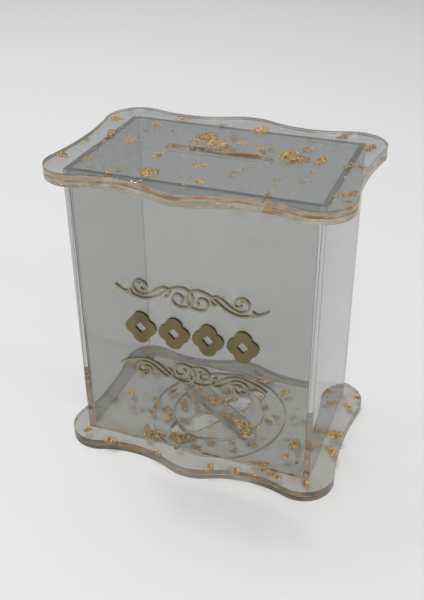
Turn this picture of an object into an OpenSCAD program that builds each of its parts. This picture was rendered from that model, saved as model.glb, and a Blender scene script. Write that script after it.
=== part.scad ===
// Clear acrylic donation box with gold-flake top and base sheets.
// Origin at the middle of the underside, +Z up, ornamented front panel facing -Y.

/* [Box walls] */
// Outer width of the four-panel box, across the side panels
wall_w = 120; // [110:1:130]
// Outer depth of the four-panel box, across the front and back panels
wall_d = 75; // [68:1:90]
// Height of the wall panels between base and top
wall_h = 142; // [125:1:170]
// Thickness of every acrylic sheet
sheet_t = 3; // [2.5:0.5:4]

/* [Wavy top and base outline] */
// Radius of the rounded corner lobes
lobe_r = 16; // [15.5:0.5:17]
// How far the corner lobes stand out past the side panels
lobe_over_x = 11; // [10.5:0.25:11.5]
// How far the corner lobes stand out past the front and back panels
lobe_over_y = 9.5; // [9.25:0.25:10]
// How far the middle of each long edge bulges past the walls
bulge_over = 12.5; // [12:0.25:12.75]
// How far the dips beside the bulge stay outside the walls
dip_over = 5.5; // [5:0.25:5.5]
// Distance of each dip from the middle of the long edge, as a share of the box's width
dip_share = 0.267; // [0.262:0.001:0.28]
// How far the waist of each short edge stays outside the walls
waist_over = 8; // [7.5:0.5:8.5]

/* [Coin slot] */
// Length of the slot through the top
slot_l = 51; // [40:1:54]
// Width of the slot through the top
slot_w = 5; // [4.5:0.5:6]
// Radius of the slot's corners
slot_corner_r = 1; // [0.5:0.25:2]

/* [Emptying door in the base] */
// Radius of the outer disc, which lies in the lower base sheet
disc_r = 35.8; // [34:0.2:36]
// Radius of the plug, which lies in the upper base sheet
plug_r = 24; // [23:0.5:25]
// Length of the lock bar, which overlaps the upper base sheet at both ends
bar_l = 60; // [58:1:62]
// Width of the lock bar
bar_w = 10.5; // [8:0.5:12]
// Direction of the lock bar when the door is locked
bar_angle = -34; // [-60:1:-10]
// Length of the finger slot cut through the disc
finger_slot_l = 44; // [38:1:46]
// Width of the finger slot
finger_slot_w = 11; // [9:0.5:12]
// Gap all round the disc, the plug and the bar's notches
door_gap = 0.4; // [0.3:0.1:0.6]
// Gap under the disc, and between the door's layers and the upper base sheet
door_play = 0.2; // [0.15:0.05:0.3]

/* [Gold ornaments] */
// Thickness of the gold mirror acrylic ornaments
ornament_t = 1.5; // [1:0.25:2]
// Width of the scrolls' strokes
stroke_w = 0.95; // [0.8:0.05:1.2]
// Height of the upper scroll's middle line
upper_scroll_z = 98; // [93:1:104]
// Height of the lower scroll's middle line
lower_scroll_z = 54.5; // [48:0.5:60]
// Height of the middle of the row of quatrefoils
quatrefoil_z = 77; // [74:0.5:80]
// Spacing of the quatrefoils
quatrefoil_pitch = 17; // [16.2:0.2:18]
// Overall width of each quatrefoil
quatrefoil_w = 15.6; // [14:0.2:15.8]
// Overall height of each quatrefoil
quatrefoil_h = 17; // [15:0.5:18]

/* [Hidden] */
$fn = 96;
// Longest straight piece in an approximated arc of the wavy outline
arc_step = 1.5;
// Straight pieces between neighbouring points of a scroll's stroke
spline_steps = 4;

// Sheet levels, from the underside up
base_top = 2 * sheet_t;
wall_top = base_top + wall_h;

// Door levels: disc in the lower base sheet, plug in the upper one, bar on top of it
disc_t = sheet_t - 2 * door_play;
plug_bottom = door_play + disc_t;
plug_t = sheet_t + 2 * door_play;
bar_bottom = plug_bottom + plug_t;
// The notches that let the bar drop out lie a quarter turn past its locked place
notch_angle = bar_angle + 90;

// Wavy outline: corner lobe centre, then radii of the arcs that run tangent into each other
lobe_x = wall_w / 2 + lobe_over_x - lobe_r;
lobe_y = wall_d / 2 + lobe_over_y - lobe_r;
waist_x = wall_w / 2 + waist_over;
dip_x = dip_share * wall_w;
dip_y = wall_d / 2 + dip_over;
bulge_y = wall_d / 2 + bulge_over;
waist_r = hollow_radius(lobe_y, waist_x - lobe_x, lobe_r);
dip_r = hollow_radius(lobe_x - dip_x, dip_y - lobe_y, lobe_r);
bulge_r = (dip_x * dip_x + pow(bulge_y - dip_y, 2)) / (2 * (bulge_y - dip_y)) - dip_r;
waist_c = [waist_x + waist_r, 0];
lobe_c = [lobe_x, lobe_y];
dip_c = [dip_x, dip_y + dip_r];
bulge_c = [0, bulge_y - bulge_r];

// Quatrefoil lobes and the diamond pierced through its middle
foil_r = 4.4;
pierced_w = 4.2;

// Right half of a scroll, as points along the middle of each stroke, from the outer end inwards.
// x is the distance from the scroll's middle, y the height above its middle line.
stem = [
    [37.2, 0.3], [35, -1.2], [32.2, -2.4], [29.5, -3.4], [26.5, -4.2], [23.7, -4.6], [20, -3.9],
    [17, -2.4], [14, -0.2], [11.2, 2.1], [9, 3.3], [6.5, 4.3], [4, 4.7], [1.8, 4.2], [0, 2.9],
    [-1.1, 1.1], [-1.3, -0.9], [-0.9, -2.8], [0, -4.1], [1.5, -5.1], [3.7, -5.6], [6.2, -5.3],
    [8.1, -4], [8.8, -2], [8.1, 0], [6.3, 0.9], [4.4, 0.3], [3.4, -1.2], [4, -2.6]
];
outer_spiral = [
    [11.2, 2.8], [12.6, 3.2], [14.2, 2.9], [16, 1.8], [18.4, 0], [20.8, -1.7], [23.3, -2.6],
    [25.8, -2.2], [27.7, -0.6], [28.4, 1.6], [27.7, 3.5], [26.2, 4.6], [24.4, 4.7], [22.7, 4],
    [21.6, 2.6], [21.4, 1], [22.2, 0], [23.4, -0.1], [24.3, 0.5]
];
hook = [[27.8, 3], [26.8, 3.5], [25.8, 3.6], [25, 3.3]];
junction_curl = [[10.1, 2.4], [10.1, 0.8], [10.5, -0.4], [11.3, -1.1], [12.1, -1.3]];
// Pointed leaf on the stem, clockwise like the strokes
leaf = [[31.4, -2.9], [29.6, -3.7], [28.2, -3.3], [29.2, -2], [29.8, -0.5], [31.2, -1.4], [32.6, -1.9]];
// Each stroke with the diameters of its round outer and inner ends
scroll_strokes = [
    [stem, 0.9, 1.5],
    [outer_spiral, 1, 1.4],
    [hook, 1, 1.2],
    [junction_curl, 0.9, 1.25]
];
// Curve points over which an end's diameter runs out into the stroke's own width
end_taper = 7;
// Straight pieces in an end's half round
end_pieces = 8;

acrylic = [0.78, 0.83, 0.84, 0.4];
flake_acrylic = [0.75, 0.72, 0.6, 0.6];
mirror_gold = [0.66, 0.55, 0.25];

// Radius of a hollow arc that runs tangent into a lobe of radius r, across from it and rise above it
function hollow_radius(across, rise, r) = (across * across + rise * rise - r * r) / (2 * (r - rise));

// Points along an arc, without its last one
function arc_points(c, r, from, to, n) =
    [for (i = [0:n - 1]) let (a = from + (to - from) * i / n) c + r * [cos(a), sin(a)]];

function arc_pieces(r, from, to) = ceil(r * abs(to - from) * PI / 180 / arc_step);

function arc(c, r, from, to) = arc_points(c, r, from, to, arc_pieces(r, from, to));

// Direction from one point to another, in degrees
function heading(from, to) = atan2(to[1] - from[1], to[0] - from[0]);

// One quarter of the wavy outline, from the short edge's waist round to the long edge's bulge
function quarter_outline() = concat(
    arc(waist_c, waist_r, 180, heading(waist_c, lobe_c)),
    arc(lobe_c, lobe_r, heading(lobe_c, waist_c), heading(lobe_c, dip_c)),
    arc(dip_c, dip_r, heading(dip_c, lobe_c), heading(dip_c, bulge_c)),
    arc(bulge_c, bulge_r, heading(bulge_c, dip_c), 90),
    [[0, bulge_y]]
);

function half_outline(q) = concat(q, [for (i = [len(q) - 2:-1:1]) [-q[i][0], q[i][1]]]);

function wavy_outline() = let (half = half_outline(quarter_outline())) concat(half, [for (p = half) -p]);

// Smooth curve through points, with spline_steps pieces between neighbours
function spline_point(a, b, c, d, t) =
    0.5 * (2 * b + (c - a) * t + (2 * a - 5 * b + 4 * c - d) * t * t + (3 * b - a - 3 * c + d) * t * t * t);

function spline(p) = concat(
    [for (i = [0:len(p) - 2], s = [0:spline_steps - 1])
        spline_point(p[max(i - 1, 0)], p[i], p[i + 1], p[min(i + 2, len(p) - 1)], s / spline_steps)],
    [p[len(p) - 1]]
);

// Direction of a curve at its point i, in degrees
function direction_at(p, i) = heading(p[max(i - 1, 0)], p[min(i + 1, len(p) - 1)]);

// What is left of an end's extra width at i points from that end
function end_share(i) = pow(max(0, 1 - i / end_taper), 2);

function half_width(p, i, start_d, end_d) = (
    stroke_w + (start_d - stroke_w) * end_share(i) + (end_d - stroke_w) * end_share(len(p) - 1 - i)
) / 2;

// Half round past the end of a stroke, starting from its left or its right edge
function round_end(c, r, from) = arc_points(c, r, from, from - 180, end_pieces);

// One edge of a stroke: side is 1 for its left edge and -1 for its right edge
function stroke_edge(p, start_d, end_d, side) = [
    for (i = [0:len(p) - 1])
        let (a = direction_at(p, i) + side * 90)
            p[i] + half_width(p, i, start_d, end_d) * [cos(a), sin(a)]
];

function reversed(p) = [for (i = [len(p) - 1:-1:0]) p[i]];

// Closed outline of a stroke along the curve p, with round ends of diameters start_d and end_d
function stroke_outline(p, start_d, end_d) = let (last = len(p) - 1) concat(
    stroke_edge(p, start_d, end_d, 1),
    round_end(p[last], end_d / 2, direction_at(p, last) + 90),
    reversed(stroke_edge(p, start_d, end_d, -1)),
    round_end(p[0], start_d / 2, direction_at(p, 0) - 90)
);

// Slot or bar outline with fully rounded ends
module stadium(l, w) {
    square([l - w, w], center = true);
    for (side = [-1, 1])
        translate([side * (l - w) / 2, 0])
            circle(d = w);
}

module rounded_slot(l, w, r) {
    square([l - 2 * r, w], center = true);
    square([l, w - 2 * r], center = true);
    for (sx = [-1, 1], sy = [-1, 1])
        translate([sx * (l / 2 - r), sy * (w / 2 - r)])
            circle(r = r);
}

// One wavy sheet with its underside at height z; the children are cut out of it
module wavy_sheet(z) {
    translate([0, 0, z])
        linear_extrude(sheet_t)
            difference() {
                polygon(wavy_outline());
                children();
            }
}

// Lower base sheet, with the recess that the door's disc lies in
module base_lower_sheet() {
    color(flake_acrylic)
        wavy_sheet(0)
            circle(r = disc_r + door_gap);
}

// Upper base sheet, with the plug's hole and the notches that the lock bar passes when turned
module base_upper_sheet() {
    color(flake_acrylic)
        wavy_sheet(sheet_t) {
            circle(r = plug_r + door_gap);
            rotate(notch_angle)
                stadium(bar_l + 2 * door_gap, bar_w + 2 * door_gap);
        }
}

// Front and back panels stand between the side panels
module cross_panel(side) {
    color(acrylic)
        translate([-wall_w / 2 + sheet_t, side * (wall_d - sheet_t) / 2 - sheet_t / 2, base_top])
            cube([wall_w - 2 * sheet_t, sheet_t, wall_h]);
}

module front_panel() {
    cross_panel(-1);
}

module back_panel() {
    cross_panel(1);
}

// Side panels run the full depth and cover the ends of the front and back panels
module side_panel(side) {
    color(acrylic)
        translate([side * (wall_w - sheet_t) / 2 - sheet_t / 2, -wall_d / 2, base_top])
            cube([sheet_t, wall_d, wall_h]);
}

module left_panel() {
    side_panel(-1);
}

module right_panel() {
    side_panel(1);
}

module top_lower_sheet() {
    color(flake_acrylic)
        wavy_sheet(wall_top)
            rounded_slot(slot_l, slot_w, slot_corner_r);
}

module top_upper_sheet() {
    color(flake_acrylic)
        wavy_sheet(wall_top + sheet_t)
            rounded_slot(slot_l, slot_w, slot_corner_r);
}

// Outer disc of the door, with the finger slot that turns it
module door_disc() {
    color(flake_acrylic)
        translate([0, 0, door_play])
            linear_extrude(disc_t)
                difference() {
                    circle(r = disc_r);
                    rotate(notch_angle)
                        stadium(finger_slot_l, finger_slot_w);
                }
}

// Plug between disc and bar, which centres the door and closes the finger slot
module door_plug() {
    color(flake_acrylic)
        translate([0, 0, plug_bottom])
            cylinder(r = plug_r, h = plug_t);
}

module lock_bar() {
    color(flake_acrylic)
        translate([0, 0, bar_bottom])
            rotate(bar_angle)
                linear_extrude(sheet_t)
                    stadium(bar_l, bar_w);
}

// Flat ornament glued on the front panel, drawn with x across and y up from height z
module on_front(z) {
    color(mirror_gold)
        translate([0, -wall_d / 2, z])
            rotate([90, 0, 0])
                linear_extrude(ornament_t)
                    children();
}

// Scroll: both stems form the middle loops, and an S-curve beside each ends in the outer spiral
module scroll_outline() {
    strokes = [for (s = scroll_strokes) stroke_outline(spline(s[0]), s[1], s[2])];
    for (side = [0, 1])
        mirror([side, 0])
            for (outline = concat(strokes, [leaf]))
                polygon(outline);
}

module upper_scroll() {
    on_front(upper_scroll_z)
        scroll_outline();
}

// The lower scroll is the upper one turned over
module lower_scroll() {
    on_front(lower_scroll_z)
        mirror([0, 1])
            scroll_outline();
}

// Four-lobed ornament with a pierced diamond
module quatrefoil_outline() {
    difference() {
        union() {
            for (side = [-1, 1]) {
                translate([side * (quatrefoil_w / 2 - foil_r), 0])
                    circle(r = foil_r);
                translate([0, side * (quatrefoil_h / 2 - foil_r)])
                    circle(r = foil_r);
            }
            square([quatrefoil_w / 2, quatrefoil_h / 2], center = true);
        }
        rotate(45)
            square(pierced_w, center = true);
    }
}

// Ornament number i of the row of four, counted from the left
module quatrefoil(i) {
    on_front(quatrefoil_z)
        translate([(i - 2.5) * quatrefoil_pitch, 0])
            quatrefoil_outline();
}

base_lower_sheet();
base_upper_sheet();
front_panel();
back_panel();
left_panel();
right_panel();
top_lower_sheet();
top_upper_sheet();
door_disc();
door_plug();
lock_bar();
upper_scroll();
lower_scroll();
quatrefoil(1);  // quatrefoil_1
quatrefoil(2);  // quatrefoil_2
quatrefoil(3);  // quatrefoil_3
quatrefoil(4);  // quatrefoil_4
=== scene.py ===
import math
import random

import bmesh
import bpy
from mathutils import Matrix, Vector, noise


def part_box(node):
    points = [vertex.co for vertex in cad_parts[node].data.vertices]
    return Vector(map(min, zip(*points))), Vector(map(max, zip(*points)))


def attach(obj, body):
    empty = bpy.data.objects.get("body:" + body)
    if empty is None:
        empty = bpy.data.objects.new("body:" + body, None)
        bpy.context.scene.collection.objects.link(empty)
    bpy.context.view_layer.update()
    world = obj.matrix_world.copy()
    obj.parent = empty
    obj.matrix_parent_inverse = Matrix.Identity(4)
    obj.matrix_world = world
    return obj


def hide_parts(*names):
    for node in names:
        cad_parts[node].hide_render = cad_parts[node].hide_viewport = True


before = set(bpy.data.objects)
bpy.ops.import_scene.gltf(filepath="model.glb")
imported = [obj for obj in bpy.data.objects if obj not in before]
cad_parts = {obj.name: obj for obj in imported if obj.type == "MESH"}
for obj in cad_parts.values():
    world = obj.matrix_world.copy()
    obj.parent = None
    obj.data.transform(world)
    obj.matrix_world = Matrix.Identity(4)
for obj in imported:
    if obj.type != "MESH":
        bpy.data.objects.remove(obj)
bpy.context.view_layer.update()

MM = 0.001

# ---------------------------------------------------------------- sizes

# Wavy outline of the top and base sheets, as in the CAD source
LOBE_R = 16 * MM          # corner lobes
LOBE_IN = 3 * MM          # lobes end this far inside the long edges' bulge
DIP_IN = 7 * MM           # dips beside the bulge lie this far inside it
DIP_SHARE = 0.267         # dips' distance from the middle, as a share of the walls' width
WAIST_IN = 3 * MM         # the short edges' waist lies this far inside the lobes
ARC_STEP = 0.6 * MM       # longest straight piece in an outline's arc

FINGER_SLOT = (44 * MM, 11 * MM)
COIN_SLOT = (51 * MM, 5 * MM)
SLOT_CORNER_R = 1 * MM
CORNER_STEPS = 5          # straight pieces in a slot's rounded corner
BAR_W = 10.5 * MM
BAR_ANGLE = math.radians(-34)
NOTCH_ANGLE = BAR_ANGLE + math.pi / 2
DOOR_GAP = 0.4 * MM       # round the disc, the plug and the bar's notches

GLUE_GAP = 0.04 * MM      # glued faces show as a thin line of air
EDGE_ROUND = 0.22 * MM    # polished edges of the sheets are slightly eased
PANEL_EDGE = 0.25 * MM    # and so are those of the walls
MERGE = 0.002 * MM        # corners closer than this are one
SMOOTH_BELOW = math.radians(32)   # faces that meet at less than this are shaded as one curve

LEAF_SCALE = 1.45         # drawn size of the gold leaf, against the sizes listed
RAGGED_RIM = 0.55         # half of a scrap's length, with a tenth more for its ragged rim
RIM_MARGIN = 0.5 * MM     # clear acrylic outside the gold leaf
FACE_MARGIN = 0.3 * MM    # clear acrylic above and below it
LEAF_FACET = 0.8 * MM     # size of its facets
LEAF_FOLD = 2.2 * MM      # distance between its folds
FOLD_SHARE = 0.35         # height of its folds, as a share of its width
TORN_OUT = 0.05           # share of its facets' squares that is torn out
SPECKS = 45               # tiny scraps besides those listed, in each sheet
SPECK_LENGTH = (0.5, 1.4)
SPECK_WIDTH = (0.4, 0.9)
SPECK_REACH = (64, 42)    # half of the area that they are strewn over


def high_corner(node):
    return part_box(node)[1]


SHEET_HALF = high_corner("base_lower_sheet").xy
DIP_X = DIP_SHARE * 2 * high_corner("right_panel").x
DISC_R = high_corner("door_disc").x
PLUG_R = high_corner("door_plug").x
# Half the bar's box is half its straight part, turned, plus its end radius
BAR_L = 2 * (high_corner("lock_bar").x - BAR_W / 2) / math.cos(BAR_ANGLE) + BAR_W

# ---------------------------------------------------------------- scene

CAMERA_AT = (0.1251, -0.3364, 0.2927)
CAMERA_TURN = (-21.0, -31.2, -0.59)      # yaw, pitch and roll, in degrees
CAMERA_LENS = 50.06
LAMP_AIM = Vector((0, 0, 0.07))
FLOOR_GREY = 0.54
FLOOR_HALF = 3.0
FLOOR_Z = -0.15 * MM


def make_camera():
    data = bpy.data.cameras.new("camera")
    data.lens = CAMERA_LENS
    data.sensor_width = 36
    cam = bpy.data.objects.new("camera", data)
    bpy.context.scene.collection.objects.link(cam)
    yaw, pitch, roll = (math.radians(a) for a in CAMERA_TURN)
    ahead = Vector((math.sin(yaw) * math.cos(pitch), math.cos(yaw) * math.cos(pitch), math.sin(pitch)))
    right = ahead.cross(Vector((0, 0, 1))).normalized()
    up = right.cross(ahead)
    right, up = right * math.cos(roll) + up * math.sin(roll), up * math.cos(roll) - right * math.sin(roll)
    turn = Matrix((right, up, -ahead)).transposed().to_4x4()
    cam.matrix_world = Matrix.Translation(CAMERA_AT) @ turn
    bpy.context.scene.camera = cam


def area_light(name, at, size, power, mirrored=True):
    """Square lamp aimed at the object. Unless mirrored, it shows in no reflection and through no acrylic."""
    data = bpy.data.lights.new(name, "AREA")
    data.shape = "SQUARE"
    data.size = size
    data.energy = power
    light = bpy.data.objects.new(name, data)
    light.visible_glossy = light.visible_transmission = mirrored
    light.location = at
    light.rotation_euler = (LAMP_AIM - Vector(at)).to_track_quat("-Z", "Y").to_euler()
    bpy.context.scene.collection.objects.link(light)


def make_studio():
    scene = bpy.context.scene
    scene.view_settings.view_transform = "Standard"
    scene.cycles.max_bounces = 40
    scene.cycles.transmission_bounces = 40
    scene.cycles.glossy_bounces = 12
    scene.cycles.diffuse_bounces = 4
    scene.cycles.transparent_max_bounces = 48
    scene.cycles.caustics_reflective = False
    scene.cycles.caustics_refractive = False
    world = bpy.data.worlds.new("studio")
    world.use_nodes = True
    world.node_tree.nodes["Background"].inputs["Color"].default_value = (0.98, 0.99, 1, 1)
    world.node_tree.nodes["Background"].inputs["Strength"].default_value = 0.3
    scene.world = world
    area_light("key", (-0.7, 0.55, 1.7), 0.9, 16, mirrored=False)
    area_light("fill", (0.9, -1.7, 2.3), 1.8, 51, mirrored=False)
    area_light("sparkle_front", (0.25, -1.1, 1.3), 0.16, 5)
    area_light("sparkle_right", (1.3, -0.5, 1.0), 0.16, 5)
    area_light("sparkle_back", (-0.7, 0.55, 1.7), 0.22, 6)
    area_light("sparkle_left", (-1.2, -0.9, 1.1), 0.16, 5)


def make_floor():
    mesh = bpy.data.meshes.new("floor")
    corners = [(sx * FLOOR_HALF, sy * FLOOR_HALF, FLOOR_Z) for sx, sy in ((-1, -1), (1, -1), (1, 1), (-1, 1))]
    mesh.from_pydata(corners, [], [(0, 1, 2, 3)])
    floor = bpy.data.objects.new("floor", mesh)
    bpy.context.scene.collection.objects.link(floor)
    mat, _, _, shader = new_material("floor_paper")
    shader.inputs["Base Color"].default_value = (FLOOR_GREY, FLOOR_GREY, FLOOR_GREY, 1)
    shader.inputs["Roughness"].default_value = 0.9
    mesh.materials.append(mat)


# ---------------------------------------------------------------- materials

ACRYLIC_IOR = 1.49
CLEAR_TINT = (0.995, 0.995, 0.99)        # what a shadow ray keeps at each face of clear acrylic
STREAKS_FROM, STREAKS_TO = 0.5, 0.62     # noise values between which an edge turns dark


def new_material(name):
    mat = bpy.data.materials.new(name)
    mat.use_nodes = True
    nodes, links = mat.node_tree.nodes, mat.node_tree.links
    return mat, nodes, links, nodes["Principled BSDF"]


def let_light_through(nodes, links, shader, tint):
    """Shadow rays pass straight through the acrylic, tinted, in place of caustics."""
    path = nodes.new("ShaderNodeLightPath")
    clear = nodes.new("ShaderNodeBsdfTransparent")
    clear.inputs["Color"].default_value = (*tint, 1)
    mix = nodes.new("ShaderNodeMixShader")
    links.new(path.outputs["Is Shadow Ray"], mix.inputs[0])
    links.new(shader.outputs[0], mix.inputs[1])
    links.new(clear.outputs[0], mix.inputs[2])
    links.new(mix.outputs[0], nodes["Material Output"].inputs["Surface"])


def acrylic(name, colour, specular=0.5):
    """Cast acrylic sheet, with the faint waviness of cast sheet; its colour is painted shade, a grey tint on
    clear acrylic in place of the shade seen through it.
    """
    mat, nodes, links, shader = new_material(name)
    shader.inputs["Base Color"].default_value = (*colour, 1)
    shader.inputs["Transmission Weight"].default_value = 1
    shader.inputs["IOR"].default_value = ACRYLIC_IOR
    shader.inputs["Specular IOR Level"].default_value = specular
    shader.inputs["Roughness"].default_value = 0
    place = nodes.new("ShaderNodeTexCoord")
    waves = nodes.new("ShaderNodeTexNoise")
    waves.inputs["Scale"].default_value = 40
    waves.inputs["Detail"].default_value = 2
    bump = nodes.new("ShaderNodeBump")
    bump.inputs["Strength"].default_value = 0.01
    bump.inputs["Distance"].default_value = 0.3 * MM
    links.new(place.outputs["Object"], waves.inputs["Vector"])
    links.new(waves.outputs["Fac"], bump.inputs["Height"])
    links.new(bump.outputs["Normal"], shader.inputs["Normal"])
    let_light_through(nodes, links, shader, CLEAR_TINT)
    return mat


def cut_edge(name, clear, dark, light, spots, stretch, tint):
    """Cut edge of a sheet: partly see-through, with streaks of a darker colour in it.

    clear is its transmission off and on the streaks, spots their number to the metre, and stretch squeezes
    them along the height. tint is what a shadow ray keeps at each face.
    """
    mat, nodes, links, shader = new_material(name)
    shader.inputs["IOR"].default_value = ACRYLIC_IOR
    place = nodes.new("ShaderNodeTexCoord")
    squeeze = nodes.new("ShaderNodeMapping")
    squeeze.inputs["Scale"].default_value = (1, 1, stretch)
    streaks = nodes.new("ShaderNodeTexNoise")
    streaks.inputs["Scale"].default_value = spots
    streaks.inputs["Detail"].default_value = 4
    streaks.inputs["Roughness"].default_value = 0.6
    colour = nodes.new("ShaderNodeValToRGB")
    colour.color_ramp.elements[0].position = STREAKS_FROM
    colour.color_ramp.elements[0].color = (*light, 1)
    colour.color_ramp.elements[1].position = STREAKS_TO
    colour.color_ramp.elements[1].color = (*dark, 1)
    see = nodes.new("ShaderNodeMapRange")
    see.inputs["From Min"].default_value = STREAKS_FROM
    see.inputs["From Max"].default_value = STREAKS_TO
    see.inputs["To Min"].default_value, see.inputs["To Max"].default_value = clear
    rough = nodes.new("ShaderNodeMapRange")
    rough.inputs["To Min"].default_value = 0.12
    rough.inputs["To Max"].default_value = 0.35
    bump = nodes.new("ShaderNodeBump")
    bump.inputs["Strength"].default_value = 0.4
    bump.inputs["Distance"].default_value = 0.08 * MM
    links.new(place.outputs["Object"], squeeze.inputs["Vector"])
    links.new(squeeze.outputs["Vector"], streaks.inputs["Vector"])
    links.new(streaks.outputs["Fac"], colour.inputs["Fac"])
    links.new(streaks.outputs["Fac"], see.inputs["Value"])
    links.new(streaks.outputs["Fac"], rough.inputs["Value"])
    links.new(streaks.outputs["Fac"], bump.inputs["Height"])
    links.new(colour.outputs["Color"], shader.inputs["Base Color"])
    links.new(see.outputs["Result"], shader.inputs["Transmission Weight"])
    links.new(rough.outputs["Result"], shader.inputs["Roughness"])
    links.new(bump.outputs["Normal"], shader.inputs["Normal"])
    let_light_through(nodes, links, shader, tint)
    return mat


def gold_leaf():
    """Crumpled gold leaf: bright gold patches, with dark brown between them painted in as the shade of its
    folds.
    """
    mat, nodes, links, shader = new_material("gold_leaf")
    shader.inputs["Metallic"].default_value = 0.3
    place = nodes.new("ShaderNodeTexCoord")
    crumple_and_painted_shade = nodes.new("ShaderNodeTexNoise")
    crumple_and_painted_shade.inputs["Scale"].default_value = 1300
    crumple_and_painted_shade.inputs["Detail"].default_value = 3
    # Painted shade: dark brown between patches of the leaf's gold, in place of the shade in its folds.
    gold_and_painted_shade = nodes.new("ShaderNodeValToRGB")
    gold_and_painted_shade.color_ramp.elements[0].position = 0.43
    gold_and_painted_shade.color_ramp.elements[0].color = (0.12, 0.055, 0.01, 1)
    gold_and_painted_shade.color_ramp.elements[1].position = 0.58
    gold_and_painted_shade.color_ramp.elements[1].color = (1.0, 0.68, 0.28, 1)
    rough = nodes.new("ShaderNodeMapRange")
    rough.inputs["To Min"].default_value = 0.22
    rough.inputs["To Max"].default_value = 0.5
    bump = nodes.new("ShaderNodeBump")
    bump.inputs["Strength"].default_value = 0.8
    bump.inputs["Distance"].default_value = 0.4 * MM
    links.new(place.outputs["Object"], crumple_and_painted_shade.inputs["Vector"])
    links.new(crumple_and_painted_shade.outputs["Fac"], gold_and_painted_shade.inputs["Fac"])
    links.new(crumple_and_painted_shade.outputs["Fac"], rough.inputs["Value"])
    links.new(crumple_and_painted_shade.outputs["Fac"], bump.inputs["Height"])
    links.new(gold_and_painted_shade.outputs["Color"], shader.inputs["Base Color"])
    links.new(rough.outputs["Result"], shader.inputs["Roughness"])
    links.new(bump.outputs["Normal"], shader.inputs["Normal"])
    return mat


def mirror_gold(name, dark, light, side):
    """Gold mirror acrylic: a mirror front, from dark to light in upright streaks and kept dark as painted
    shade in place of the dim surroundings that it reflects, and laser-cut sides whose colour, given to every
    face turned away from the front, is painted shade on the ornaments and a painted lighter rim on the
    scrolls.
    """
    mat, nodes, links, shader = new_material(name)
    shader.inputs["Metallic"].default_value = 1
    place = nodes.new("ShaderNodeTexCoord")
    streak = nodes.new("ShaderNodeTexNoise")
    streak.inputs["Scale"].default_value = 120
    stretch = nodes.new("ShaderNodeMapping")
    stretch.inputs["Scale"].default_value = (1, 1, 0.15)
    shape = nodes.new("ShaderNodeNewGeometry")
    facing_for_painted_sides = nodes.new("ShaderNodeSeparateXYZ")
    flat = nodes.new("ShaderNodeMapRange")
    flat.inputs["From Min"].default_value = -0.95
    flat.inputs["From Max"].default_value = -0.75
    face = nodes.new("ShaderNodeValToRGB")
    face.color_ramp.elements[0].position = 0.3
    face.color_ramp.elements[0].color = (*dark, 1)
    face.color_ramp.elements[1].position = 0.7
    face.color_ramp.elements[1].color = (*light, 1)
    colour = nodes.new("ShaderNodeMix")
    colour.data_type = "RGBA"
    colour.inputs["B"].default_value = (*side, 1)
    rough = nodes.new("ShaderNodeMapRange")
    rough.inputs["To Min"].default_value = 0.16
    rough.inputs["To Max"].default_value = 0.3
    links.new(place.outputs["Object"], stretch.inputs["Vector"])
    links.new(stretch.outputs["Vector"], streak.inputs["Vector"])
    links.new(streak.outputs["Fac"], face.inputs["Fac"])
    links.new(streak.outputs["Fac"], rough.inputs["Value"])
    links.new(shape.outputs["True Normal"], facing_for_painted_sides.inputs["Vector"])
    links.new(facing_for_painted_sides.outputs["Y"], flat.inputs["Value"])
    links.new(flat.outputs["Result"], colour.inputs["Factor"])
    links.new(face.outputs["Color"], colour.inputs["A"])
    links.new(colour.outputs["Result"], shader.inputs["Base Color"])
    links.new(rough.outputs["Result"], shader.inputs["Roughness"])
    return mat


# Painted shade: the acrylic is clear. These grey tints stand in for the shade seen through it. They are
# darker on the walls than on the top and base, and darkest on the side walls, which also reflect less.
front_acrylic_shaded = acrylic("front_acrylic_shaded", (0.68, 0.69, 0.675))
back_acrylic_shaded = acrylic("back_acrylic_shaded", (0.62, 0.625, 0.61))
side_acrylic_shaded = acrylic("side_acrylic_shaded", (0.58, 0.585, 0.575), specular=0.05)
top_acrylic_shaded = acrylic("top_acrylic_shaded", (0.83, 0.845, 0.84))
base_acrylic_shaded = acrylic("base_acrylic_shaded", (0.86, 0.86, 0.835))
glue_line = cut_edge("glue_line", clear=(0.35, 0.0), dark=(0.10, 0.045, 0.01), light=(0.36, 0.28, 0.17),
                     spots=150, stretch=1, tint=(0.9, 0.88, 0.85))
dark_edge = cut_edge("dark_edge", clear=(0.5, 0.1), dark=(0.05, 0.05, 0.05), light=(0.16, 0.165, 0.165),
                     spots=500, stretch=1, tint=(0.7, 0.7, 0.7))
grey_edge = cut_edge("grey_edge", clear=(0.6, 0.4), dark=(0.12, 0.12, 0.12), light=(0.24, 0.25, 0.25),
                     spots=300, stretch=1, tint=(0.8, 0.8, 0.8))
# Painted reflection: the beige and brown streaks on the sheets' clear edges stand in for the gold leaf seen
# many times over inside the sheet. The base's edge is also greyer and darker, as painted shade.
leaf_reflection_edge = cut_edge("leaf_reflection_edge", clear=(0.8, 0.0), dark=(0.22, 0.115, 0.035), light=(0.60, 0.56, 0.48),
                      spots=45, stretch=10, tint=(0.92, 0.9, 0.87))
base_edge_reflection_and_shade = cut_edge("base_edge_reflection_and_shade", clear=(0.85, 0.1), dark=(0.20, 0.10, 0.03), light=(0.36, 0.35, 0.31),
                     spots=45, stretch=10, tint=(0.92, 0.9, 0.87))
door_edge = cut_edge("door_edge", clear=(0.35, 0.0), dark=(0.36, 0.22, 0.09), light=(0.80, 0.77, 0.68),
                     spots=90, stretch=3, tint=(0.95, 0.94, 0.92))
leaf = gold_leaf()
# Painted shade: the mirrors are kept dull and dark in place of the dim surroundings they reflect. Their
# sides' colours are painted shade and light, set by which way a face turns.
mirror = mirror_gold("mirror_gold", dark=(0.15, 0.123, 0.062), light=(0.205, 0.168, 0.086),
                     side=(0.2, 0.165, 0.1))
thin_mirror = mirror_gold("thin_mirror_gold", dark=(0.26, 0.235, 0.15), light=(0.32, 0.29, 0.19),
                          side=(0.5, 0.46, 0.33))

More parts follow.
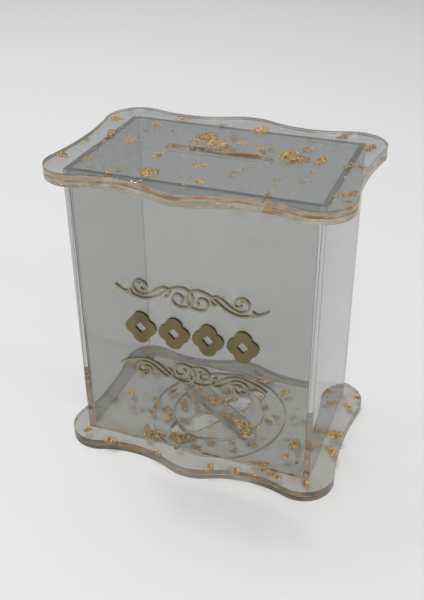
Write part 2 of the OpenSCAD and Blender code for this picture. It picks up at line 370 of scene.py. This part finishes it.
# ---------------------------------------------------------------- outlines


def arc(centre, r, start, end):
    """Points along an arc, without its last one."""
    n = max(2, math.ceil(r * abs(end - start) / ARC_STEP))
    return [centre + r * Vector((math.cos(a), math.sin(a)))
            for a in (start + (end - start) * i / n for i in range(n))]


def heading(a, b):
    return math.atan2(b.y - a.y, b.x - a.x)


def hollow_radius(across, rise, r):
    """Radius of a hollow arc that runs tangent into a lobe of radius r."""
    return (across ** 2 + rise ** 2 - r ** 2) / (2 * (r - rise))


def wavy_outline(half_x, half_y):
    lobe = Vector((half_x - LOBE_R, half_y - LOBE_IN - LOBE_R))
    waist_x, dip_y = half_x - WAIST_IN, half_y - DIP_IN
    waist_r = hollow_radius(lobe.y, waist_x - lobe.x, LOBE_R)
    dip_r = hollow_radius(lobe.x - DIP_X, dip_y - lobe.y, LOBE_R)
    bulge_r = (DIP_X ** 2 + DIP_IN ** 2) / (2 * DIP_IN) - dip_r
    waist = Vector((waist_x + waist_r, 0))
    dip = Vector((DIP_X, dip_y + dip_r))
    bulge = Vector((0, half_y - bulge_r))
    quarter = (
        arc(waist, waist_r, math.pi, heading(waist, lobe))
        + arc(lobe, LOBE_R, heading(lobe, waist), heading(lobe, dip))
        + arc(dip, dip_r, heading(dip, lobe), heading(dip, bulge))
        + arc(bulge, bulge_r, heading(bulge, dip), math.pi / 2)
        + [Vector((0, half_y))]
    )
    half = quarter + [Vector((-p.x, p.y)) for p in quarter[-2:0:-1]]
    return half + [-p for p in half]


def circle(r):
    return arc(Vector((0, 0)), r, 0, 2 * math.pi)


def turned(points, angle):
    return [Matrix.Rotation(angle, 2) @ p for p in points]


def stadium(length, width, angle=0.0):
    reach = Vector(((length - width) / 2, 0))
    ends = (arc(reach, width / 2, -math.pi / 2, math.pi / 2) + [reach + Vector((0, width / 2))]
            + arc(-reach, width / 2, math.pi / 2, 3 * math.pi / 2) + [-reach - Vector((0, width / 2))])
    return turned(ends, angle)


def rounded_slot(length, width, r):
    points = []
    for i, (sx, sy) in enumerate(((1, 1), (-1, 1), (-1, -1), (1, -1))):
        corner = Vector((sx * (length / 2 - r), sy * (width / 2 - r)))
        for k in range(CORNER_STEPS + 1):
            a = math.pi / 2 * (i + k / CORNER_STEPS)
            points.append(corner + r * Vector((math.cos(a), math.sin(a))))
    return points


def notched_circle(r, length, width, angle):
    """Circle with the two ends of a stadium sticking out of it, as one outline."""
    half_w = width / 2
    mouth = math.asin(half_w / r)
    reach = length / 2 - half_w
    points = []
    for side in (0, math.pi):
        tip = Vector((reach, 0))
        points += turned(arc(Vector((0, 0)), r, mouth - math.pi, -mouth)
                         + arc(tip, half_w, -math.pi / 2, math.pi / 2)
                         + [tip + Vector((0, half_w))], side + math.pi)
    return turned(points, angle)


# ---------------------------------------------------------------- pieces


def heights(node):
    return [corner.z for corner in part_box(node)]


def add_piece(name, mesh, body, materials, replaces=()):
    piece = bpy.data.objects.new(name, mesh)
    bpy.context.scene.collection.objects.link(piece)
    for material in materials:
        mesh.materials.append(material)
    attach(piece, body)
    if replaces:
        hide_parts(*replaces)


def finish_bevelled(bm, name, flat_kind):
    """Mesh with flat faces kept truly flat and only its curves and eased edges smooth.

    flat_kind says of a normal which flat or straight kind of face it belongs to, or None on an eased edge.
    """
    kinds = {f: flat_kind(f.normal) for f in bm.faces}
    for f in bm.faces:
        f.smooth = kinds[f] != "flat"
    for e in bm.edges:
        if len(e.link_faces) == 2:
            a, b = e.link_faces
            e.smooth = kinds[a] == kinds[b] and a.normal.angle(b.normal) < SMOOTH_BELOW
    mesh = bpy.data.meshes.new(name)
    bm.to_mesh(mesh)
    bm.free()
    return mesh


def flat_mesh(name, outlines, low, high):
    """Solid between two heights, from an outer outline and holes, with eased rims."""
    curve = bpy.data.curves.new(name, "CURVE")
    curve.dimensions = "2D"
    curve.fill_mode = "BOTH"
    curve.extrude = (high - low) / 2 - EDGE_ROUND
    curve.bevel_depth = EDGE_ROUND
    curve.bevel_resolution = 2
    curve.offset = -EDGE_ROUND
    for outline in outlines:
        spline = curve.splines.new("POLY")
        spline.points.add(len(outline) - 1)
        for point, p in zip(spline.points, outline):
            point.co = (p.x, p.y, 0, 1)
        spline.use_cyclic_u = True
    shape = bpy.data.objects.new(name + "_curve", curve)
    bpy.context.scene.collection.objects.link(shape)
    bpy.context.view_layer.update()
    graph = bpy.context.evaluated_depsgraph_get()
    mesh = bpy.data.meshes.new_from_object(shape.evaluated_get(graph))
    bpy.data.objects.remove(shape)
    bpy.data.curves.remove(curve)
    bm = bmesh.new()
    bm.from_mesh(mesh)
    bpy.data.meshes.remove(mesh)
    bmesh.ops.remove_doubles(bm, verts=bm.verts, dist=MERGE)
    bmesh.ops.translate(bm, verts=bm.verts, vec=(0, 0, (low + high) / 2))
    bmesh.ops.recalc_face_normals(bm, faces=bm.faces)
    for f in bm.faces:
        f.material_index = int(abs(f.normal.z) < 0.5)
    return finish_bevelled(
        bm, name, lambda n: "flat" if abs(n.z) > 0.999 else "side" if abs(n.z) < 0.02 else None)


def panel_mesh(name, low, high):
    """Wall panel with eased edges; its top edge takes the second material and its bottom edge the third."""
    bm = bmesh.new()
    bmesh.ops.create_cube(bm, size=1)
    for v in bm.verts:
        v.co = Vector([lo + (c + 0.5) * (hi - lo) for lo, hi, c in zip(low, high, v.co)])
    bmesh.ops.bevel(bm, geom=bm.edges[:], offset=PANEL_EDGE, segments=3, profile=0.5, affect="EDGES")
    for f in bm.faces:
        if abs(f.normal.z) > 0.9:
            f.material_index = 1 if f.normal.z > 0 else 2
    return finish_bevelled(bm, name, lambda n: "flat" if max(map(abs, n)) > 0.999 else None)


def add_sheet(node, body, outlines, materials):
    """Acrylic of a sheet or door piece, thinner than in the CAD by the gap that shows its glue."""
    low, high = heights(node)
    mesh = flat_mesh(node, outlines, low + GLUE_GAP / 2, high - GLUE_GAP / 2)
    add_piece(node + "_acrylic", mesh, body, materials, [node])


def add_panel(node, end_gap, materials):
    """Acrylic of a wall, clear of the sheets and, by end_gap, of the side panels that it is glued to."""
    low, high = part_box(node)
    inset = Vector((end_gap, 0, GLUE_GAP))
    mesh = panel_mesh(node, low + inset, high - inset)
    add_piece(node + "_acrylic", mesh, "box", materials, [node])


# ---------------------------------------------------------------- gold leaf


def rim_limits(half_x, half_y):
    """How far a sheet reaches along y at each millimetre of x, and along x at each millimetre of y."""
    lobe = Vector((half_x - LOBE_R, half_y - LOBE_IN - LOBE_R))
    along_x, along_y = {}, {}
    for p in wavy_outline(half_x, half_y):
        x, y = abs(p.x), abs(p.y)
        if y - lobe.y > x - lobe.x:
            along_x[round(x / MM)] = min(y, along_x.get(round(x / MM), half_y))
        else:
            along_y[round(y / MM)] = min(x, along_y.get(round(y / MM), half_x))
    return along_x, along_y


def within_rim(x, y):
    along_x, along_y = rim
    x, y = abs(x), abs(y)
    return (y < along_x.get(round(x / MM), y + 1) - RIM_MARGIN
            and x < along_y.get(round(y / MM), x + 1) - RIM_MARGIN)


def leaf_flake(bm, rng, at, length, width, turn, room):
    """One crumpled scrap of gold leaf: a ragged sheet of small facets, folded up and down."""
    n = 4 + int(length / LEAF_FACET)
    spin = Matrix.Rotation(turn, 2)
    seed = Vector((rng.uniform(0, 99), rng.uniform(0, 99), rng.uniform(0, 99)))
    fold_height = min(FOLD_SHARE * width, room)
    grid = {}
    for i in range(n + 1):
        for j in range(n + 1):
            u, v = 2 * i / n - 1, 2 * j / n - 1
            ragged = 1.0 + 1.05 * noise.noise(seed + Vector((u, v, 0)) * 2.6)
            if u * u + v * v > ragged:
                continue
            flat = spin @ Vector((u * length / 2, v * width / 2))
            jitter = length / n * 0.3
            flat += Vector((rng.uniform(-jitter, jitter), rng.uniform(-jitter, jitter)))
            if not within_rim(at.x + flat.x, at.y + flat.y):
                continue
            fold = 1.6 * noise.noise(seed * 1.7 + Vector((u * length, v * width, 0)) / LEAF_FOLD)
            lift = (fold + rng.uniform(-0.45, 0.45)) * fold_height
            grid[i, j] = bm.verts.new((at.x + flat.x, at.y + flat.y, at.z + max(-room, min(room, lift))))
    for i in range(n):
        for j in range(n):
            corners = [grid.get(k) for k in ((i, j), (i + 1, j), (i + 1, j + 1), (i, j + 1))]
            kept = [c for c in corners if c]
            if len(kept) == 3:
                bm.faces.new(kept)
            elif len(kept) == 4 and rng.random() < 1 - TORN_OUT:
                bm.faces.new((corners[0], corners[1], corners[2]))
                bm.faces.new((corners[0], corners[2], corners[3]))


def flakes_mesh(name, scraps, rng, low, high):
    """All the leaf in one sheet; scraps are (x, y, length, width, turn) in millimetres and degrees."""
    bm = bmesh.new()
    middle, room = (low + high) / 2, (high - low) / 2 - FACE_MARGIN
    for x, y, length, width, turn in scraps:
        lift = rng.uniform(-0.4, 0.4) * room
        leaf_flake(bm, rng, Vector((x * MM, y * MM, middle + lift)), LEAF_SCALE * length * MM,
                   LEAF_SCALE * width * MM, math.radians(turn), room - abs(lift))
    loose = [v for v in bm.verts if not v.link_faces]
    bmesh.ops.delete(bm, geom=loose, context="VERTS")
    mesh = bpy.data.meshes.new(name)
    bm.to_mesh(mesh)
    bm.free()
    return mesh


# Scraps of gold leaf as x, y, length, width and turn, in millimetres and degrees
TOP_LEAF = [
    (-32, 39, 6, 3, 40), (-12, 38, 4, 3, 70), (9, 35.5, 8, 6, 80), (48, 41, 5, 3.5, 60), (45, 37, 2, 1.5, 0),
    (35, 31.5, 4, 2, -35), (-65, 27, 7, 4, -30), (-46.5, 31, 2, 1.5, 0), (-41.5, 25, 3.5, 2.5, -20),
    (-45, 18.5, 4, 2, -60), (-31.5, 20, 3.5, 1.2, -50), (-14, 22, 7, 5, 75), (-13, 18, 7.5, 6, 20),
    (-9.5, 23, 3.5, 3, 60), (-16.5, 11, 5, 3.5, 60), (-0.5, 22, 5, 3, -70), (6, 15.5, 4, 3.5, 0),
    (-3.5, 15, 3, 2.5, 30), (-5.5, 11.5, 9, 6, -25), (2, 9, 6, 4, -60), (15.5, 12, 4.5, 2.5, -50),
    (18.5, 8.5, 5, 3, -70), (21.5, 12, 4, 2, 60), (29.5, 14, 3.5, 3, 20), (31, 9, 8, 6, 60),
    (35, 7.5, 9, 7, -20), (32, 6, 8, 6, 10), (33, 0.5, 5, 3, 60), (37, 17.5, 5, 3.5, 70),
    (41.5, 5, 2, 1.5, 0), (46, 6.5, 8, 3, 85), (45.5, -5.5, 2.5, 2, 20), (48, 21, 1.2, 1, 0),
    (63.5, 35, 2.5, 2, 0), (63.5, 29, 7, 3.5, 75), (58, 6.5, 6, 2.5, 80), (62, 6, 4, 2.5, -30),
    (65.5, 7.5, 4, 2.5, 20), (68, 2, 6, 1.2, 80), (68, -21, 5, 3.5, 20), (65, -25, 3.5, 3, 0),
    (61.5, -25.5, 4, 3, 10), (44.5, -18, 3.5, 2, 70), (32.5, -18.5, 3, 1.2, 80), (36, -22, 1.5, 1, -40),
    (13.5, -17, 3.5, 2.5, 40), (16.5, -14.5, 3, 1, 60), (13.5, -21.5, 3.5, 1.5, -50),
    (-2.5, -16.5, 4, 2.5, 20), (-9, -8, 2, 1.2, 0), (-25, -11.5, 5, 3, 65),
    (-28, -26, 2.5, 1.2, 70), (-24.5, -31, 1.6, 1.2, -40),
    (-19, -25.5, 2, 1.5, 30), (-20.5, -31, 8, 5.5, -65), (-35.5, -31, 4.5, 2, -50), (-6, -30, 2.5, 1.5, 80),
    (-3, -29.5, 1.8, 1.2, 20), (4, -33, 3.2, 2.5, 30), (13, -32, 1.5, 1, 0), (24, -27, 1.6, 0.9, 70),
    (34, -34.5, 3.5, 1.8, 75), (36, -31.5, 1.2, 1, 0), (-49.5, -34, 3.5, 2.2, 50), (-37, -37, 4, 2.5, -60),
    (-54.5, -24, 6, 3.5, 80), (-66, -26, 5.5, 3.5, -40), (-45.5, 5, 6, 5, 40), (-58, 7, 9, 3, -70),
    (-66, -3, 4, 2.5, -50), (-56.5, -5.5, 4.5, 2, 80), (-56, -12.5, 3, 2.5, 0), (-64, -10.5, 1.6, 1.2, 0),
    (-51.5, -15.5, 2, 1, -50), (-20.5, -41, 2.5, 1.5, 80), (-57, -45, 4, 3, -50), (-33, -46, 3.5, 2, -30),
    (-28.5, -46, 2.5, 2, 0), (37, -43, 6, 2, -15), (52, -47, 7, 2, -5), (67, -33, 4, 2, 60),
]
BASE_LEAF = [
    (8.5, 42.5, 4.5, 3, -30), (16.5, 36, 6, 5, 20), (9.5, 34.5, 4.5, 1.8, -10), (29.5, 28, 4.5, 3, 15),
    (28, 24, 2.5, 2, 0), (24, 19.5, 8, 6, 75), (21.5, 14, 4, 2.5, 60), (17.5, 23, 4.5, 3, -20),
    (10, 23, 3, 2, 0), (-3, 20, 6, 4, -15), (1, 17, 3.5, 2, -60), (-8, 11.5, 3, 2, 80),
    (-40.5, 37, 5, 3, 70), (-60, 39, 7, 5, 15), (-62.5, 24, 5, 3.5, -30), (-53.5, 27, 6.5, 5, -20),
    (-48, 23.5, 6, 4, -45), (-56, 19, 3, 2.5, 20), (-32.5, 23.5, 4.5, 3.5, 0), (-25, 18, 4, 2.5, 20),
    (-21.5, 11.5, 5, 3.5, 70), (-17, 6, 5, 2, -50), (-31, 8, 6.5, 2.2, 75), (-22, 2, 4.5, 3, -80),
    (-20, -1.5, 5.5, 3.5, -60), (-13, -0.5, 4.5, 3.5, 30), (-51, -2, 4, 3, -40), (-35.5, -3, 5, 3.5, -50),
    (-60.5, -8, 5.5, 4.5, 40), (-26, -7.5, 6, 2.5, -60), (-24, -13.5, 5, 3.5, 85), (-34, -12.5, 4, 3, 0),
    (-45.5, -13.5, 3.5, 1.8, -10), (-39, -14.5, 2, 1.5, 0), (-16, -12.5, 4.5, 3.5, 10),
    (-12.5, -11, 1.2, 1, 0), (-24, -20.5, 5, 4, 10), (-15, -22, 4.5, 3, -30),
    (-13.5, -25.5, 8, 6, -20), (-6, -24, 5, 3, 70),
    (-9, -27.5, 2.5, 2, 0), (4, -22.5, 5, 3.5, -60), (14.5, -20, 3, 1.5, 10), (-24, -28.5, 6, 5, 40),
    (-14, -31.5, 5.5, 5, 0), (-31, -27, 6, 2, -60), (-28, -32.5, 6, 3.5, -70), (-10, -36, 4, 2, 50),
    (6, -4.5, 6, 5, 60), (49, 5.5, 5, 2.5, -65), (33, 1, 2, 1.8, 0), (27, 3, 4, 2.5, -20),
    (39.5, 8, 3.5, 1.5, 75), (46, 7, 2, 1.2, 0), (45, -10.5, 6, 4, 10), (47, -14, 4.5, 3, 60),
    (44.5, -23, 3.5, 2.8, 80), (51, -25, 2.2, 1.8, 0), (31, -15.5, 2.2, 1.2, 60), (35.5, -31.5, 5, 2.5, 25),
    (31, -34, 4.5, 2, -15), (36.5, -37.5, 3, 2, 0), (43, -39, 6, 2, -5), (57, -36.5, 4.5, 2.5, -20),
    (59.5, -40, 4, 2, -60), (11, -44.5, 3.5, 2.8, 80), (23, -42.5, 4.5, 3.5, 0), (36, -43, 6, 2.5, -15),
    (43, -45, 6, 2, -15), (64.5, 27, 4, 3, -60), (55.5, 27, 3, 2.5, 0), (68, 36, 4, 2.5, 60),
    (50, 36, 7, 4, 10), (57, 37.5, 5, 3, 30), (63, 0, 5.5, 4, 30), (66.5, 1.5, 4.5, 3, 60),
    (65, -11, 5, 3.5, -10), (67, -14, 4.5, 3, -40), (-66, -20, 3, 2, 30), (-45, -43, 5, 2.5, 0),
    (-18, -44, 4, 2, -30), (-60, -40, 3.5, 2.5, 20), (-40, 9, 1.8, 1.2, 0), (-44, -31, 2.5, 1, -60),
]
DOOR_LEAF = {
    "lock_bar": [(-8, 4.5, 5, 3, -20), (-4.5, 3.5, 6, 4, -34), (-1.5, 6, 5, 3, 60),
                 (-16, 11, 6, 2, -40), (3, 2, 4, 1.8, 0), (16.5, -9.5, 7, 5.5, -30),
                 (20.5, -14.5, 7, 5, -50), (22, -9.5, 5.5, 3, 20), (12, -8, 4, 2, -34)],
    "door_plug": [(-5, -4, 3.5, 2, 20), (5, 12, 3, 2, 60), (12, 4, 2.5, 2, 0), (-12, -14, 3, 2, 40),
                  (0, -15, 2, 1.5, 0), (14, 12, 3, 1.2, 60)],
    "door_disc": [(-14, 27, 3.5, 2.5, 0), (25, -18, 4, 2.5, 30), (-29, -6, 4, 3, 60), (30, 8, 3, 2, -30),
                  (-2, -30, 4, 3, 10), (17, -25, 3, 2, 50), (-25, 17, 3, 2, -20)],
}
rng = random.Random(7)


def specks():
    """Tiny scraps at random places, in millimetres and degrees like those listed."""
    reach_x, reach_y = SPECK_REACH
    return [(rng.uniform(-reach_x, reach_x), rng.uniform(-reach_y, reach_y), rng.uniform(*SPECK_LENGTH),
             rng.uniform(*SPECK_WIDTH), rng.uniform(0, 180)) for _ in range(SPECKS)]


def half_leaf(length):
    return LEAF_SCALE * length * RAGGED_RIM


def clear_of_door(scraps):
    """The scraps that miss the plug's hole and the bar's notches by half their size."""
    kept = []
    for x, y, length, width, turn in scraps:
        reach = half_leaf(length) + RIM_MARGIN / MM
        along = abs(x * math.cos(NOTCH_ANGLE) + y * math.sin(NOTCH_ANGLE))
        across = abs(y * math.cos(NOTCH_ANGLE) - x * math.sin(NOTCH_ANGLE))
        in_hole = math.hypot(x, y) < PLUG_R / MM + reach
        in_notch = along < BAR_L / MM / 2 + reach and across < BAR_W / MM / 2 + reach
        if not in_hole and not in_notch:
            kept.append((x, y, length, width, turn))
    return kept


def clear_of_slot(scraps):
    """The scraps that miss the coin slot by half their size."""
    half_x, half_y = (side / MM / 2 + RIM_MARGIN / MM for side in COIN_SLOT)
    return [s for s in scraps if abs(s[0]) > half_x + half_leaf(s[2]) or abs(s[1]) > half_y + half_leaf(s[2])]


def inside_circle(scraps, r):
    """The scraps that lie wholly inside a circle about the middle."""
    limit = (r - RIM_MARGIN) / MM
    return [s for s in scraps if math.hypot(s[0], s[1]) < limit - half_leaf(s[2])]


def outside_circle(scraps, r):
    """The scraps that lie wholly outside a circle about the middle."""
    limit = (r + RIM_MARGIN) / MM
    return [s for s in scraps if math.hypot(s[0], s[1]) > limit + half_leaf(s[2])]


def add_flakes(node, scraps, body):
    mesh = flakes_mesh(node + "_leaf", scraps, rng, *heights(node))
    add_piece(node + "_leaf", mesh, body, [leaf])


# ---------------------------------------------------------------- build

make_camera()
make_studio()
make_floor()

outline = wavy_outline(*SHEET_HALF)
coin_slot = rounded_slot(*COIN_SLOT, SLOT_CORNER_R)
plug_hole = notched_circle(PLUG_R + DOOR_GAP, BAR_L + 2 * DOOR_GAP, BAR_W + 2 * DOOR_GAP, NOTCH_ANGLE)
finger_slot = stadium(*FINGER_SLOT, NOTCH_ANGLE)
add_sheet("base_lower_sheet", "box", [outline, circle(DISC_R + DOOR_GAP)], [base_acrylic_shaded, base_edge_reflection_and_shade])
add_sheet("base_upper_sheet", "box", [outline, plug_hole], [base_acrylic_shaded, base_edge_reflection_and_shade])
add_sheet("top_lower_sheet", "box", [outline, coin_slot], [top_acrylic_shaded, leaf_reflection_edge])
add_sheet("top_upper_sheet", "box", [outline, coin_slot], [top_acrylic_shaded, leaf_reflection_edge])
add_sheet("door_disc", "door", [circle(DISC_R), finger_slot], [base_acrylic_shaded, door_edge])
add_sheet("door_plug", "door", [circle(PLUG_R)], [base_acrylic_shaded, door_edge])
add_sheet("lock_bar", "door", [stadium(BAR_L, BAR_W, BAR_ANGLE)], [base_acrylic_shaded, door_edge])

# The front and back panels are glued between the side panels
add_panel("front_panel", GLUE_GAP, [front_acrylic_shaded, dark_edge, glue_line])
add_panel("back_panel", GLUE_GAP, [back_acrylic_shaded, dark_edge, glue_line])
add_panel("left_panel", 0, [side_acrylic_shaded, grey_edge, glue_line])
add_panel("right_panel", 0, [side_acrylic_shaded, grey_edge, glue_line])

rim = rim_limits(*SHEET_HALF)
in_upper = clear_of_door(BASE_LEAF)
in_plug = inside_circle([s for s in BASE_LEAF if s not in in_upper], PLUG_R)
in_lower = [s for s in BASE_LEAF if s not in in_upper and s not in in_plug]
add_flakes("top_upper_sheet", TOP_LEAF[::2] + clear_of_slot(specks()), "box")
add_flakes("top_lower_sheet", TOP_LEAF[1::2] + clear_of_slot(specks()), "box")
add_flakes("base_upper_sheet", in_upper + clear_of_door(specks()), "box")
add_flakes("base_lower_sheet", outside_circle(in_lower + specks(), DISC_R + DOOR_GAP), "box")
add_flakes("lock_bar", DOOR_LEAF["lock_bar"], "door")
add_flakes("door_plug", in_plug + DOOR_LEAF["door_plug"], "door")
add_flakes("door_disc", inside_circle(in_lower + DOOR_LEAF["door_disc"], DISC_R), "door")

for node in ("upper_scroll", "lower_scroll", "quatrefoil_1", "quatrefoil_2", "quatrefoil_3", "quatrefoil_4"):
    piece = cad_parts[node]
    piece.data.materials.clear()
    piece.data.materials.append(thin_mirror if "scroll" in node else mirror)
